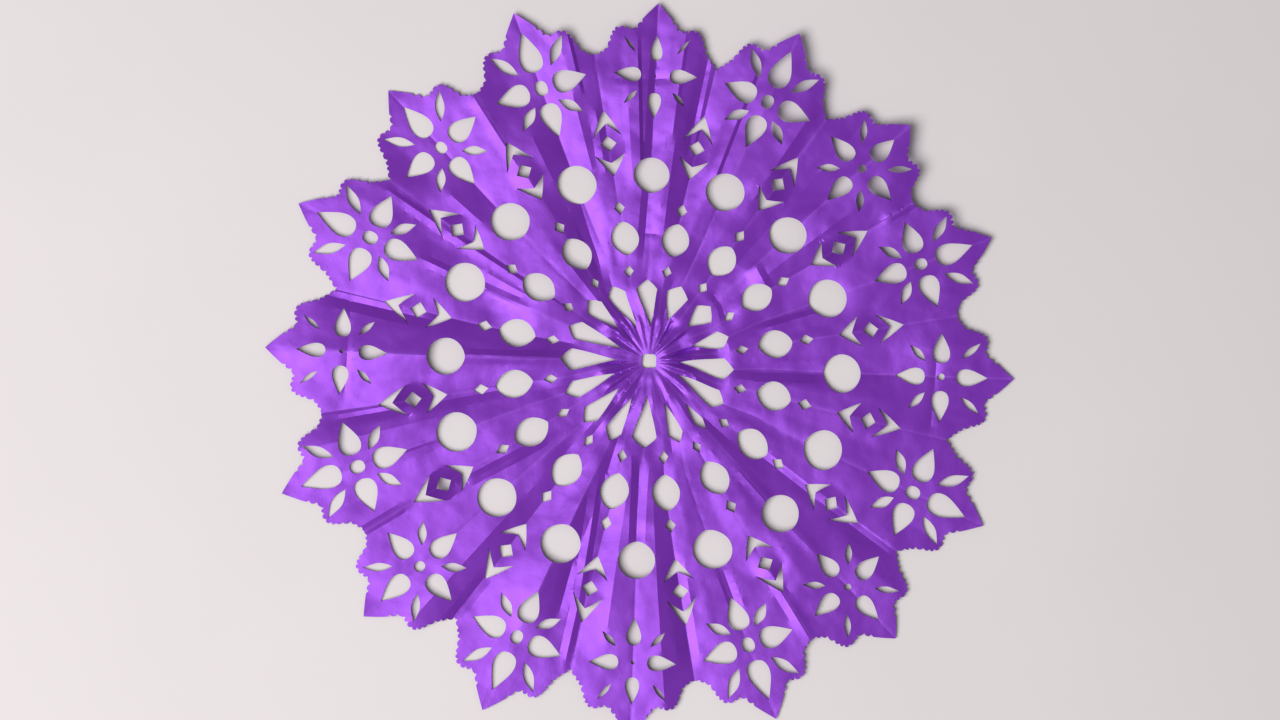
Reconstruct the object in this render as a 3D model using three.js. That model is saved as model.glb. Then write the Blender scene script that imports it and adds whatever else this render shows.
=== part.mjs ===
import * as THREE from 'three';
import { mergeVertices } from 'three/addons/utils/BufferGeometryUtils.js';

// A round rosette of glazed paper. The disc is folded in half five times, so that its spokes lie
// on each other, snipped through all its layers, and opened again. It lies on a table with its
// folds still standing up a little. Millimetres, +Z up.
//
// A cut-out is drawn beside the fold line that it crosses: x runs outwards along the line and
// y across it. Only the half on one side is drawn, because the fold doubles it.

// The sheet
const paperThickness = 0.1;
const paperColour = 0x812ebe;
const lobeCount = 16;
const foldAngle = Math.PI / lobeCount; // from the fold in the middle of a lobe to the one between lobes
const firstLobeTurn = 2.5; // degrees clockwise from +Y

// Steps outwards from one ring of cut-outs to the next, and on to the snipped edge
const step = {
  kiteToDiamond: 6.5, diamondToOval: 23.4, ovalToDiamond: 21.4, ovalToCircle: 43.3,
  diamondToEye: 44.2, eyeToFlower: 45.4, flowerToTip: 51.6, tipToNotch: 39,
};

// Cut-outs on the folds in the middle of the lobes, and on the folds between lobes
const centreHole = 5;
const hubEdge = 24;
const kite = { inner: 23.5, widest: 50.5, outer: 57.5, width: 14.8 };
const smallDiamond = { centre: kite.outer + step.kiteToDiamond, length: 7, width: 4.8 };
const oval = { centre: smallDiamond.centre + step.diamondToOval, length: 22.4, width: 18.6, corners: 8 };
const largeDiamond = { centre: oval.centre + step.ovalToDiamond, length: 8, width: 6 };
const circle = { centre: oval.centre + step.ovalToCircle, slimRadius: 12.4, fullRadius: 13.6, corners: 12 };
const eyeHole = { centre: largeDiamond.centre + step.diamondToEye, length: 10.4, width: 11 };

// The arms of the two chevrons stand round the eye: distances along the fold from its centre
const innerChevron = { tip: -21.3, corner: -13.7, end: [-6, 10.2] };
const outerChevron = { tip: 21.6, corner: 14.5, end: [8, 10.5] };

// A flower's cuts, measured from its centre, when they are barely open and when they are wide open
const flowerRadius = eyeHole.centre + step.eyeToFlower;
const slimFlower = {
  centre: 0, outer: [10.5, 28, 7.5], inner: [11.5, 28.5, 8.5], cross: [9.8, 27.8, 9.5],
  outerSlit: { from: [16, 14.5], to: [25.5, 22], width: 2 },
  innerSlit: { from: [-11, 12.5], to: [-20, 20.5], width: 3 },
};
const fullFlower = {
  centre: 8.5, outer: [11.5, 38, 14.5], inner: [11, 33.5, 13.5], cross: [8.8, 31.2, 14],
  outerSlit: { from: [12.7, 11.6], to: [29.2, 25], width: 6.6 },
  innerSlit: { from: [-10.7, 8.5], to: [-22.5, 20.8], width: 6.3 },
};
const flowerOpening = [0.1, 0.95, 0.6, 0.9, 0.5, 1, 0.5, 1, 0.25, 0.9, 0.75, 1, 0.25, 1, 0.85, 1];

// The snipped edge of half a lobe: share of the way to the fold between lobes, and depth in from the tip
const tipRadius = flowerRadius + step.flowerToTip;
const edgeDepths = [[0, 0], [0.12, 6.5], [0.25, 13.5], [0.36, 19], [0.47, 18], [0.58, 17.5],
  [0.67, 20.5], [0.74, 26.5], [0.81, 32.5]];
const notchStep = 2.3; // pairs of notches are this much deeper and shallower in turn
const plainTipLength = 15;
const toothPitch = 5.2;
const toothDepth = 1.5;

// How the opened sheet lies. Each lobe has crept in or out, or turned, by a few millimetres.
const lobeTurn = [0, 0.2, 0.4, -0.3, -0.6, 0, -0.5, -0.8, -0.6, 0, 0.7, 0.7, 0.5, 0.4, -0.1, 0]; // degrees
const circleReach = [-3, -2.5, -0.5, 0.5, 2.5, 1.5, 4, -0.5, -1.5, -0.5, 0, 1, 1, 0.5, 0.5, -2];
const flowerReach = [-4, -3, -1, -0.5, 1, 0.5, 2.5, 0, -1, 0.5, 1.5, 3.5, 3, 3, 0.5, -0.5];
const tipReach = [-7, -4, -9.5, -1.5, -2, 1, -2, 1.5, -5, 3, 0, 5.5, 2.5, 4.5, 1, 1.5];
const centreDrift = { x: 4.3, y: 4, radius: 80 };

// Height of each fold line in turn, starting in the middle of the first lobe, on two rings. The
// paper springs up between the fold lines by the ring's bulge.
const innerRing = { radius: oval.centre, bulge: 1.5, heights: [
  6, 5, 5, 3, 6, 7, 5, 10, 9, 10, 9, 7, 11, 9, 7, 4, 4, 3, 5, 1, 5, 5, 4, 2, 9, 3, 8, 7, 9, 7, 3, 4,
] };
const outerRing = { radius: eyeHole.centre + outerChevron.tip, bulge: 3, heights: [
  4, 3, 7, 4, 5, 4, 4, 5, 4, 4, 6, 4, 8, 8, 5, 4, 5, 3, 7, 2, 2, 3, 3, 2, 9, 3, 6, 3, 6, 5, 3, 3,
] };
const hubHeight = 3;
const tipHeightShare = 0.35; // of the outer ring's heights, at the tips

const foldCount = 2 * lobeCount;
const paper = new THREE.MeshStandardMaterial({ color: paperColour, roughness: 0.4, metalness: 0 });

// Half outlines of cut-outs on a fold line, from the inner end to the outer end

function diamond({ centre, length, width }) {
  const side = new THREE.Vector2(centre, width / 2);
  return [new THREE.Vector2(centre - length / 2, 0), side, new THREE.Vector2(centre + length / 2, 0)];
}

function kiteShape({ inner, widest, outer, width }) {
  const side = new THREE.Vector2(widest, width / 2);
  return [new THREE.Vector2(inner, 0), side, new THREE.Vector2(outer, 0)];
}

function chevron({ tip, corner, end }) {
  const [inner, outer] = tip < corner ? [tip, corner] : [corner, tip];
  const centre = new THREE.Vector2(eyeHole.centre, 0);
  return [[inner, 0], end, [outer, 0]].map(([along, across]) => new THREE.Vector2(along, across).add(centre));
}

function roundShape(centre, length, width, corners) {
  const steps = corners / 2;
  return Array.from({ length: steps + 1 }, (_, i) => {
    const turn = Math.PI * (1 - i / steps);
    const across = i % steps === 0 ? 0 : Math.sin(turn) * width / 2;
    return new THREE.Vector2(centre + Math.cos(turn) * length / 2, across);
  });
}

// A petal's blunt end is towards the flower's centre
function petalSide([base, tip, width]) {
  const along = (share) => base + (tip - base) * share;
  return [[base, 0], [along(0.22), width * 0.42], [along(0.5), width * 0.46], [tip, 0]];
}

function axisPetal(size, direction) {
  const points = petalSide(size).map(([x, y]) => new THREE.Vector2(flowerRadius + direction * x, y));
  return direction > 0 ? points : points.reverse();
}

// Closed cut-outs between the fold lines

function crossPetal(size) {
  const side = petalSide(size);
  const upper = side.map(([along, across]) => new THREE.Vector2(flowerRadius + across, along));
  const lower = side.slice(1, -1).map(([along, across]) => new THREE.Vector2(flowerRadius - across, along));
  return [...upper, ...lower.reverse()];
}

function slit({ from, to, width }) {
  const base = new THREE.Vector2(flowerRadius + from[0], from[1]);
  const tip = new THREE.Vector2(flowerRadius + to[0], to[1]);
  const across = tip.clone().sub(base).normalize().rotateAround(new THREE.Vector2(), Math.PI / 2);
  const beside = (share, offset) => base.clone().lerp(tip, share).addScaledVector(across, offset);
  const right = [beside(0.25, -0.45 * width), beside(0.6, -0.45 * width)];
  const left = [beside(0.6, 0.45 * width), beside(0.25, 0.45 * width)];
  return [base, ...right, tip, ...left];
}

function mix(a, b, share) {
  if (Array.isArray(a)) return a.map((value, i) => mix(value, b[i], share));
  if (typeof a === 'number') return a + (b - a) * share;
  return Object.fromEntries(Object.keys(a).map((key) => [key, mix(a[key], b[key], share)]));
}

// The snipped edge from a lobe's tip to the notch, with rounded teeth after the plain tip
function snippedEdge(notchDepth) {
  const curve = new THREE.SplineCurve([...edgeDepths, [1, notchDepth]].map(([share, depth]) =>
    new THREE.Vector2(tipRadius - depth, 0).rotateAround(new THREE.Vector2(), share * foldAngle)));
  const length = curve.getLength();
  const teeth = Math.round((length - plainTipLength) / toothPitch);
  const pitch = (length - plainTipLength) / teeth;
  const points = [curve.getPointAt(0)];
  for (let tooth = 0; tooth < teeth; tooth += 1) {
    const start = plainTipLength + tooth * pitch;
    const groove = curve.getPointAt(start / length);
    const along = curve.getTangentAt(start / length);
    points.push(groove.add(new THREE.Vector2(-along.y, along.x).multiplyScalar(toothDepth)));
    points.push(curve.getPointAt((start + 0.3 * pitch) / length));
    points.push(curve.getPointAt((start + 0.72 * pitch) / length));
  }
  points.push(curve.getPointAt(1));
  return points;
}

// Half a lobe in the flat sheet, as cells between its two fold lines. The lobe's own fold runs
// along x. Rungs join the two lines wherever the paper has to bend.
function halfLobeCells(opening, notchDepth) {
  const flower = mix(slimFlower, fullFlower, opening);
  const fromNotchFold = (point) => {
    const turn = foldAngle - point.angle();
    return new THREE.Vector2(Math.cos(turn), Math.sin(turn)).multiplyScalar(point.length());
  };
  const kiteHole = kiteShape(kite);
  const circleSize = 2 * mix(circle.slimRadius, circle.fullRadius, opening);
  const circleHole = roundShape(circle.centre, circleSize, circleSize, circle.corners);
  const innerPetal = axisPetal(flower.inner, -1);
  const eye = diamond({ centre: flowerRadius, length: flower.centre, width: flower.centre });
  const lobeBreak = new THREE.Vector2(oval.centre, 0);
  const lobeLine = [new THREE.Vector2(centreHole, 0), ...kiteHole, lobeBreak, ...circleHole,
    ...innerPetal, ...(flower.centre > 0 ? eye : []), ...axisPetal(flower.outer, 1)];

  const hubBreak = fromNotchFold(new THREE.Vector2(hubEdge, 0));
  const smallHole = diamond(smallDiamond).map(fromNotchFold);
  const ovalHole = roundShape(oval.centre, oval.length, oval.width, oval.corners).map(fromNotchFold);
  const largeHole = diamond(largeDiamond).map(fromNotchFold);
  const innerArm = chevron(innerChevron).map(fromNotchFold);
  const eyeGap = diamond(eyeHole).map(fromNotchFold);
  const outerArm = chevron(outerChevron).map(fromNotchFold);
  const notchLine = [fromNotchFold(new THREE.Vector2(centreHole, 0)), hubBreak, ...smallHole,
    ...ovalHole, ...largeHole, ...innerArm, ...eyeGap, ...outerArm];

  const rungs = [
    [lobeLine[0], notchLine[0]],
    [kiteHole[0], hubBreak],
    [kiteHole[2], smallHole[0]],
    [lobeBreak, ovalHole[oval.corners / 4]],
    [circleHole[0], largeHole[1]],
    [circleHole.at(-1), eyeGap[1]],
    [innerPetal[0], outerArm[1]],
  ];
  const cells = rungs.slice(1).map(([lobePoint, notchPoint], i) => {
    const lobePart = lobeLine.slice(lobeLine.indexOf(rungs[i][0]), lobeLine.indexOf(lobePoint) + 1);
    const notchPart = notchLine.slice(notchLine.indexOf(rungs[i][1]), notchLine.indexOf(notchPoint) + 1);
    return { contour: [...lobePart, ...notchPart.reverse()], holes: [] };
  });
  const [lastLobePoint, lastNotchPoint] = rungs.at(-1);
  const outerLobePart = lobeLine.slice(lobeLine.indexOf(lastLobePoint));
  const outerNotchPart = notchLine.slice(notchLine.indexOf(lastNotchPoint)).reverse();
  const holes = [crossPetal(flower.cross), slit(flower.outerSlit), slit(flower.innerSlit)];
  cells.push({ contour: [...outerLobePart, ...snippedEdge(notchDepth), ...outerNotchPart], holes });
  return cells;
}

// Swaps the diagonals of neighbouring triangles until none is thinner than it has to be
function plumpTriangles(points, triangles) {
  const angleAt = (apex, from, to) => {
    const one = points[from].clone().sub(points[apex]);
    return Math.abs(one.angleTo(points[to].clone().sub(points[apex])));
  };
  for (let swaps = 1; swaps > 0;) {
    swaps = 0;
    const sides = new Map();
    triangles.forEach((corners, triangle) => corners.forEach((from, i) => {
      sides.set(`${from} ${corners[(i + 1) % 3]}`, { triangle, apex: corners[(i + 2) % 3] });
    }));
    const changed = new Set();
    for (const [side, near] of sides) {
      const [from, to] = side.split(' ').map(Number);
      const far = sides.get(`${to} ${from}`);
      const settled = far && !changed.has(near.triangle) && !changed.has(far.triangle);
      if (settled && angleAt(near.apex, from, to) + angleAt(far.apex, from, to) > Math.PI + 1e-6) {
        triangles[near.triangle] = [from, far.apex, near.apex];
        triangles[far.triangle] = [far.apex, to, near.apex];
        changed.add(near.triangle).add(far.triangle);
        swaps += 1;
      }
    }
  }
  return triangles;
}

// Where a point of the flat sheet lies once the rosette is opened. Fold lines are numbered
// clockwise from the first lobe; a point between two of them has a fraction.

function between(values, position) {
  const wrapped = ((position % values.length) + values.length) % values.length;
  const index = Math.floor(wrapped);
  return THREE.MathUtils.lerp(values[index], values[(index + 1) % values.length], wrapped - index);
}

function reachAt(lobe, radius) {
  const stops = [
    [0, 0],
    [circle.centre, between(circleReach, lobe)],
    [flowerRadius, between(flowerReach, lobe)],
    [tipRadius, between(tipReach, lobe)],
  ];
  const next = stops.findIndex(([stop]) => radius < stop);
  const [from, to] = next > 0 ? stops.slice(next - 1, next + 1) : stops.slice(-2);
  return THREE.MathUtils.mapLinear(radius, from[0], to[0], from[1], to[1]);
}

function heightAt(fold, radius) {
  const spring = Math.abs(Math.sin(Math.PI * fold));
  const inner = between(innerRing.heights, fold) + spring * innerRing.bulge;
  const outer = between(outerRing.heights, fold) + spring * outerRing.bulge;
  if (radius < innerRing.radius) {
    return THREE.MathUtils.lerp(hubHeight, inner, THREE.MathUtils.smoothstep(radius, 0, innerRing.radius));
  }
  if (radius < outerRing.radius) {
    const share = THREE.MathUtils.smoothstep(radius, innerRing.radius, outerRing.radius);
    return THREE.MathUtils.lerp(inner, outer, share);
  }
  const share = THREE.MathUtils.smoothstep(radius, outerRing.radius, tipRadius);
  return outer * THREE.MathUtils.lerp(1, tipHeightShare, share);
}

function laidPoint(fold, radius) {
  const lobe = fold / 2;
  const degrees = firstLobeTurn + fold * THREE.MathUtils.radToDeg(foldAngle) + between(lobeTurn, lobe);
  const angle = THREE.MathUtils.degToRad(degrees);
  const laidRadius = radius + reachAt(lobe, radius);
  const drift = Math.exp(-((laidRadius / centreDrift.radius) ** 2));
  return [
    laidRadius * Math.sin(angle) + drift * centreDrift.x,
    laidRadius * Math.cos(angle) + drift * centreDrift.y,
    heightAt(fold, radius),
  ];
}

// The upper face of the whole sheet, its halves of lobes joined along the folds
function upperFace() {
  const positions = [];
  for (let lobe = 0; lobe < lobeCount; lobe += 1) {
    for (const side of [-1, 1]) {
      const notchPair = Math.floor(((2 * lobe + side + foldCount) % foldCount) / 4);
      const notchDepth = step.tipToNotch + (notchPair % 2 ? -notchStep : notchStep);
      for (const { contour, holes } of halfLobeCells(between(flowerOpening, lobe), notchDepth)) {
        const points = [...contour, ...holes.flat()];
        const laid = points.map((point) =>
          laidPoint(2 * lobe + side * Math.atan2(point.y, point.x) / foldAngle, point.length()));
        for (const [a, b, c] of plumpTriangles(points, THREE.ShapeUtils.triangulateShape(contour, holes))) {
          const faceUp = (THREE.ShapeUtils.area([points[a], points[b], points[c]]) > 0) === (side < 0);
          for (const i of faceUp ? [a, b, c] : [a, c, b]) {
            positions.push(...laid[i]);
          }
        }
      }
    }
  }
  const face = new THREE.BufferGeometry();
  face.setAttribute('position', new THREE.Float32BufferAttribute(positions, 3));
  return mergeVertices(face, 1e-3);
}

// The paper itself: the upper face, a lower face one thickness below, and the cut edges
function paperSolid(face) {
  const upper = face.getAttribute('position');
  const triangles = Array.from(face.getIndex().array);
  const positions = Array.from(upper.array);
  for (let i = 0; i < upper.count; i += 1) {
    positions.push(upper.getX(i), upper.getY(i), upper.getZ(i) - paperThickness);
  }
  const index = [...triangles];
  const edges = new Set();
  for (let i = 0; i < triangles.length; i += 3) {
    const corners = triangles.slice(i, i + 3);
    index.push(...corners.map((corner) => corner + upper.count).reverse());
    corners.forEach((corner, j) => edges.add(`${corner} ${corners[(j + 1) % 3]}`));
  }
  for (const edge of edges) {
    const [from, to] = edge.split(' ').map(Number);
    if (!edges.has(`${to} ${from}`)) {
      index.push(from, from + upper.count, to, to, from + upper.count, to + upper.count);
    }
  }
  const solid = new THREE.BufferGeometry();
  solid.setAttribute('position', new THREE.Float32BufferAttribute(positions, 3));
  solid.setIndex(index);
  return solid;
}

const sheetGeometry = paperSolid(upperFace());
sheetGeometry.computeBoundingBox();
const { min, max } = sheetGeometry.boundingBox;
sheetGeometry.translate(-(min.x + max.x) / 2, -(min.y + max.y) / 2, -min.z);
sheetGeometry.computeVertexNormals();

const rosette = new THREE.Mesh(sheetGeometry, paper);
rosette.name = 'paper_rosette';

const model = new THREE.Group();
model.add(rosette);

export default model;
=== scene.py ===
import math

import bmesh
import bpy
import numpy as np
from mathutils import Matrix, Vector
from mathutils.geometry import delaunay_2d_cdt, interpolate_bezier


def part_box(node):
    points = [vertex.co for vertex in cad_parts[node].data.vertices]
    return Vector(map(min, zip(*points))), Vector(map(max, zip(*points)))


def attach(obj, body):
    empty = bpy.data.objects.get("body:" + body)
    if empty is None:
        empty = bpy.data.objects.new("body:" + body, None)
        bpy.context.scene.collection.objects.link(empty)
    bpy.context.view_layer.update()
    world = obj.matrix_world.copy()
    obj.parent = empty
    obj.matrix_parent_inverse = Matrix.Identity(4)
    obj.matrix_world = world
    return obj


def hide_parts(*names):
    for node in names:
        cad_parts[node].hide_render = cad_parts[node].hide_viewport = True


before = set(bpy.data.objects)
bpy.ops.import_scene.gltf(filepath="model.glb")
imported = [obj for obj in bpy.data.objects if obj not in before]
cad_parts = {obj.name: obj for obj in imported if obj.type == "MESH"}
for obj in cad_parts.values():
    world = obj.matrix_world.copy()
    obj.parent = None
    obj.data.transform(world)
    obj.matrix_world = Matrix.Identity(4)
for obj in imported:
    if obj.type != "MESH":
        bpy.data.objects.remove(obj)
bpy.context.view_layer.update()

sheetLow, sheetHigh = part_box("paper_rosette")
sheetMiddle = (sheetLow + sheetHigh) / 2
print("frame loaded, the rosette is", [round(size, 4) for size in sheetHigh - sheetLow])

scene = bpy.context.scene
scene.view_settings.view_transform = "Standard"

# The pattern is drawn in millimetres on the flat sheet, and everything in Blender is in metres
mm = 0.001


class Number:
    # a number socket that takes part in sums: each sum adds its Math node

    def __init__(self, nodes, socket):
        self.nodes = nodes
        self.socket = socket

    def calculate(self, operation, *values):
        return self.nodes.number("ShaderNodeMath", {"operation": operation}, dict(enumerate(values)))

    def __add__(self, other):
        return self.calculate("ADD", self, other)

    def __sub__(self, other):
        return self.calculate("SUBTRACT", self, other)

    def __rsub__(self, other):
        return self.calculate("SUBTRACT", other, self)

    def __mul__(self, other):
        return self.calculate("MULTIPLY", self, other)

    def __abs__(self):
        return self.calculate("ABSOLUTE", self)

    __radd__ = __add__
    __rmul__ = __mul__


class NodeTree:
    # adds nodes to a shader or geometry tree: settings first, and then the sockets

    def __init__(self, tree):
        self.tree = tree
        tree.nodes.clear()

    def add(self, kind, settings=None, sockets=None):
        node = self.tree.nodes.new(kind)
        for name, value in (settings or {}).items():
            setattr(node, name, value)
        live = [socket for socket in node.inputs if socket.enabled]
        for name, value in (sockets or {}).items():
            socket = live[name] if isinstance(name, int) else next(s for s in live if s.name == name)
            value = value.socket if isinstance(value, Number) else value
            if isinstance(value, bpy.types.NodeSocket):
                self.tree.links.new(value, socket)
            else:
                socket.default_value = value
        return node

    def output(self, kind, settings=None, sockets=None, name=None):
        node = self.add(kind, settings, sockets)
        live = [socket for socket in node.outputs if socket.enabled]
        return next((socket for socket in live if socket.name == name), live[0])

    def number(self, kind, settings=None, sockets=None, name=None):
        return Number(self, self.output(kind, settings, sockets, name))


# Distances run outwards from the middle of the sheet. A cut-out on a fold line is drawn as the
# half beside the line, because the fold doubles it.
pattern = {
    "lobes": 16,
    "firstLobeTurn": 2.5,  # degrees clockwise from +Y
    "centreHole": {"radius": 5.2, "squareness": 0.1},
    "kite": {"inner": 23.5, "widest": 50.5, "outer": 57.5},
    "smallDiamond": {"centre": 64.0, "length": 9.0, "width": 6.4},
    "oval": {"centre": 87.2, "length": 24.0, "width": 18.8, "innerPoint": 1.55, "outerPoint": 1.3},
    "largeDiamond": {"centre": 108.8, "length": 9.8, "width": 7.4},
    "circle": {"centre": 130.7, "slimRadius": 12.1, "fullRadius": 13.2,
               "innerPoint": 1.2, "outerPoint": 1.02},
    "eye": {"centre": 153.0, "length": 10.6, "width": 11.2},
    "innerChevron": {"tip": -22.0, "corner": -13.0, "end": (-7.0, 10.4)},
    "outerChevron": {"tip": 23.0, "corner": 13.4, "end": (4.2, 10.2)},
    "flower": 198.4,
    "tip": 250.0,
    "notchDepth": 39.0,
    "notchStep": 2.3,  # two notches are deeper by this, and the next two shallower
    "plainTip": 14.0,  # along the edge, before its first tooth
    "toothPitch": 4.3,
    "toothDepth": 2.1,
    "toothUnevenness": 0.12, "toothWander": 1.9, "toothPoint": 1.6,
    "edgeSpacing": 0.9,  # between stops along the snipped edge
}
# A petal is (base, tip, width), and a slit between petals is (fromX, fromY, toX, toY, width), both
# from the middle of the flower
slimFlower = {
    "eye": 0.4, "outer": (10.5, 28.0, 7.5), "inner": (11.5, 28.5, 8.5), "cross": (9.8, 27.8, 9.5),
    "outerSlit": (16.0, 14.5, 25.5, 22.0, 2.0), "innerSlit": (-11.0, 12.5, -20.0, 20.5, 3.0),
}
fullFlower = {
    "eye": 8.8, "outer": (11.0, 38.4, 15.2), "inner": (10.6, 34.0, 14.2), "cross": (8.4, 31.6, 14.8),
    "outerSlit": (12.4, 11.2, 29.6, 25.4, 7.0), "innerSlit": (-10.4, 8.2, -22.8, 21.2, 6.8),
}
flowerEyeStretch = 1.15
flowerEyePoint = 0.8
# how far each lobe's flower is from the slim form, 0, to the full form, 1
flowerOpening = [0.1, 0.95, 0.6, 0.9, 0.5, 1, 0.5, 1, 0.25, 0.9, 0.75, 1, 0.25, 1, 0.85, 1]

# Strips of paper lie over each other beside the hub, so each lobe's kite starts further out or in by
# its own distance and has its own width
kiteStart = [0, 7, 12, 7, -4, -3, 12, 6, -1, 3, 3, 0, -2, -4, 6, 0]
kiteWidth = [13.6, 13.6, 13.6, 13.6, 13.6, 13, 7, 12, 13.6, 12.6, 12.6, 13, 13.6, 13.6, 13.6, 13]

# depth in from the tip along the snipped edge, over the share of the way to the next fold
edgeDepths = [(0, 0), (0.12, 6.5), (0.25, 13.5), (0.36, 19), (0.47, 18), (0.58, 17.5),
              (0.67, 20.5), (0.74, 26.5), (0.81, 32.5)]

foldCount = 2 * pattern["lobes"]
foldAngle = math.pi / pattern["lobes"]

grain = {
    "outline": 1.5,  # between stops along a cut
    "fold": 2.0,  # between stops along a fold line
    "besideFold": (0.6, 1.5, 3.0),  # distances of the first columns from a fold line
    "row": 2.55, "column": 2.6,
    "firstRow": 7.5,
    "hubRow": 1.2, "hubColumn": 1.0, "hubRadius": 32.0,  # finer rows and columns inside this radius
    "crease": 1.6,  # between stops along a crease
    "clear": 0.62,  # from a stop inside the paper to the nearest cut
    "clearOfMiddle": 0.4,  # from a column beside a fold line to the middle of the panel
    "clearOfCrease": 0.75, "creaseClear": 0.55,  # shares of the crease spacing, to other stops
    "shift": 0.25,  # of a column, every second row
    "closest": 1e-4,  # nearer stops become one in the triangulation
    "weld": 0.02,  # nearer stops become one where two half lobes meet
}


def curveThrough(points, spacing=grain["outline"]):
    # stops along a smooth curve through a few points
    points = [Vector(point) for point in points]
    line = [points[0]]
    for i in range(len(points) - 1):
        start, finish = points[i], points[i + 1]
        before, after = points[max(i - 1, 0)], points[min(i + 2, len(points) - 1)]
        stops = max(1, round((finish - start).length / spacing)) + 1
        handles = start + (finish - before) / 6, finish - (after - start) / 6
        line += [p.to_2d() for p in interpolate_bezier(start, *handles, finish, max(2, stops))][1:]
    return line


def roundHalf(centre, length, width, innerPoint, outerPoint):
    # a half oval on a fold line: over 1 its end is pointed, under 1 it is blunt. The way round it
    # is about 0.8 of its length and width together.
    stops = max(6, round((length + width) * 0.8 / grain["outline"]))
    half = []
    for i in range(stops + 1):
        turn = math.pi * i / stops
        power = innerPoint if turn < math.pi / 2 else outerPoint
        across = abs(math.sin(turn)) ** power * width / 2
        half.append(Vector((centre - math.cos(turn) * length / 2, across if 0 < i < stops else 0)))
    return half


def diamondHalf(centre, length, width):
    side = (centre, width / 2)
    return curveThrough([(centre - length / 2, 0), side]) + curveThrough([side, (centre + length / 2, 0)])[1:]


# places along a kite's inner and outer side: share of the side's length, and of the kite's width
kiteSides = {"inner": (0.55, 0.3), "outer": (0.5, 0.29)}


def kiteHalf(inner, widest, outer, width):
    side = (widest, width / 2)
    innerAlong, innerAcross = kiteSides["inner"]
    outerAlong, outerAcross = kiteSides["outer"]
    middle = (inner + (widest - inner) * innerAlong, width * innerAcross)
    shoulder = (widest + (outer - widest) * outerAlong, width * outerAcross)
    return curveThrough([(inner, 0), middle, side]) + curveThrough([side, shoulder, (outer, 0)])[1:]


chevronBend = 0.46  # share of the way out to its end at which a chevron is halfway across


def chevronHalf(tip, corner, end):
    # distances from the middle of the eye that it frames
    centre = pattern["eye"]["centre"]
    wing = (centre + end[0], end[1])
    brow = (centre + tip + (end[0] - tip) * chevronBend, end[1] / 2)
    under = (centre + corner + (end[0] - corner) * chevronBend, end[1] / 2)
    outer = curveThrough([(centre + tip, 0), brow, wing])
    half = outer + curveThrough([wing, under, (centre + corner, 0)])[1:]
    return half if tip < corner else half[::-1]


# half a petal's outline: share of its length, and of its width
petalSide = [(0, 0), (0.02, 0.2), (0.1, 0.4), (0.27, 0.5), (0.48, 0.45), (0.75, 0.24), (1, 0)]


def petalHalf(base, tip, width, direction=1):
    side = [(base + (tip - base) * along, width * across) for along, across in petalSide]
    half = [Vector((pattern["flower"] + direction * x, y)) for x, y in curveThrough(side)]
    return half if direction > 0 else half[::-1]


def crossPetal(base, tip, width):
    side = curveThrough([(base + (tip - base) * along, width * across) for along, across in petalSide])
    left = [Vector((pattern["flower"] + y, x)) for x, y in side]
    right = [Vector((pattern["flower"] - y, x)) for x, y in side[1:-1]]
    return left + right[::-1]


# the two sides of a slit: share of its length, and of its width
slitSides = {
    "upper": [(0, 0), (0.25, 0.36), (0.55, 0.46), (1, 0)],
    "lower": [(0, 0), (0.3, 0.44), (0.6, 0.5), (1, 0)],
}


def slitLeaf(fromX, fromY, toX, toY, width):
    start = Vector((pattern["flower"] + fromX, fromY))
    along = Vector((pattern["flower"] + toX, toY)) - start
    across = Vector((-along.y, along.x)).normalized() * width
    upper = [start + along * t + across * s for t, s in slitSides["upper"]]
    lower = [start + along * t - across * s for t, s in slitSides["lower"]]
    return curveThrough(upper) + curveThrough(lower)[1:-1][::-1]


def opened(slim, full, opening):
    # between the slim and the full form
    if isinstance(slim, tuple):
        return tuple(opened(a, b, opening) for a, b in zip(slim, full))
    return slim + (full - slim) * opening


def snippedEdge(notchDepth):
    # from a lobe's tip to the notch, with a row of small teeth after the plain tip
    outline = [Vector(((pattern["tip"] - depth) * math.cos(share * foldAngle),
                       (pattern["tip"] - depth) * math.sin(share * foldAngle)))
               for share, depth in [*edgeDepths, (1, notchDepth)]]
    fine = curveThrough(outline, pattern["edgeSpacing"])
    edge, along = [fine[0]], 0
    for before, point, after in zip(fine, fine[1:], fine[2:]):
        along += (point - before).length
        inward = Vector((before.y - after.y, after.x - before.x)).normalized()
        phase = (along - pattern["plainTip"]) / pattern["toothPitch"]
        uneven = phase + pattern["toothUnevenness"] * math.sin(pattern["toothWander"] * phase)
        bite = (1 - abs(math.sin(math.pi * uneven))) ** pattern["toothPoint"]
        edge.append(point + inward * bite * pattern["toothDepth"] if phase > 0.5 else point)
    return [*edge, fine[-1]]


def alongFold(cutOuts, start, finish):
    # stops along a fold line, round the halves of the cut-outs that it crosses
    line, place = [], start
    for cutOut in [*cutOuts, [Vector((finish, 0))]]:
        gap = cutOut[0].x - place
        stops = max(1, round(gap / grain["fold"]))
        line += [Vector((place + gap * i / stops, 0)) for i in range(0 if not line else 1, stops)]
        line += cutOut
        place = cutOut[-1].x
    return line


def toNotchFold(point):
    # from the fold line of a lobe to the one between two lobes
    radius, turn = point.length, foldAngle - math.atan2(point.y, point.x)
    return Vector((radius * math.cos(turn), radius * math.sin(turn)))


def holeEdge(fold):
    # the hole in the middle is a square with blunt corners
    hole = pattern["centreHole"]
    return hole["radius"] * (1 - hole["squareness"] * math.cos(4 * fold * foldAngle))


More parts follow.
